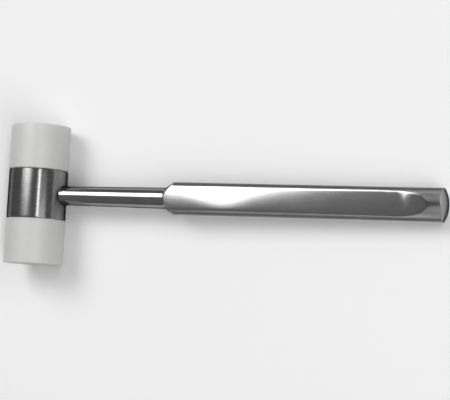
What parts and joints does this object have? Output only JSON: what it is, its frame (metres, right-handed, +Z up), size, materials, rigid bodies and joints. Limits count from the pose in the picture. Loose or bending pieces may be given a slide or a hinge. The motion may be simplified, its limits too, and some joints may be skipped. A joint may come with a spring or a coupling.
{
  "type": "surgical mallet",
  "caption": "Small surgical mallet: short steel cylinder head with white nylon striking caps, slim round neck and a knurled round grip with long polished flats.",
  "frame": {"origin": "on the ground under the middle of the mallet's length, in the plane that halves the head", "axes": "+X along the handle away from the head, +Y along the head's axis, +Z up as the mallet lies on its side"},
  "size_m": [0.1899, 0.0592, 0.0254],
  "materials": {
    "head_steel": "satin",
    "handle_steel": "polished",
    "nylon": "matte"
  },
  "bodies": {
    "mallet": {"head_body": "head_steel", "handle": "handle_steel"},
    "left_cap": {"left_cap": "nylon"},
    "right_cap": {"right_cap": "nylon"}
  },
  "joints": [
    {"name": "left_cap_off", "type": "slide", "parent": "mallet", "child": "left_cap", "axis": [0, 1, 0], "range_m": [0, 0.014]},
    {"name": "right_cap_off", "type": "slide", "parent": "mallet", "child": "right_cap", "axis": [0, -1, 0], "range_m": [0, 0.014]}
  ]
}
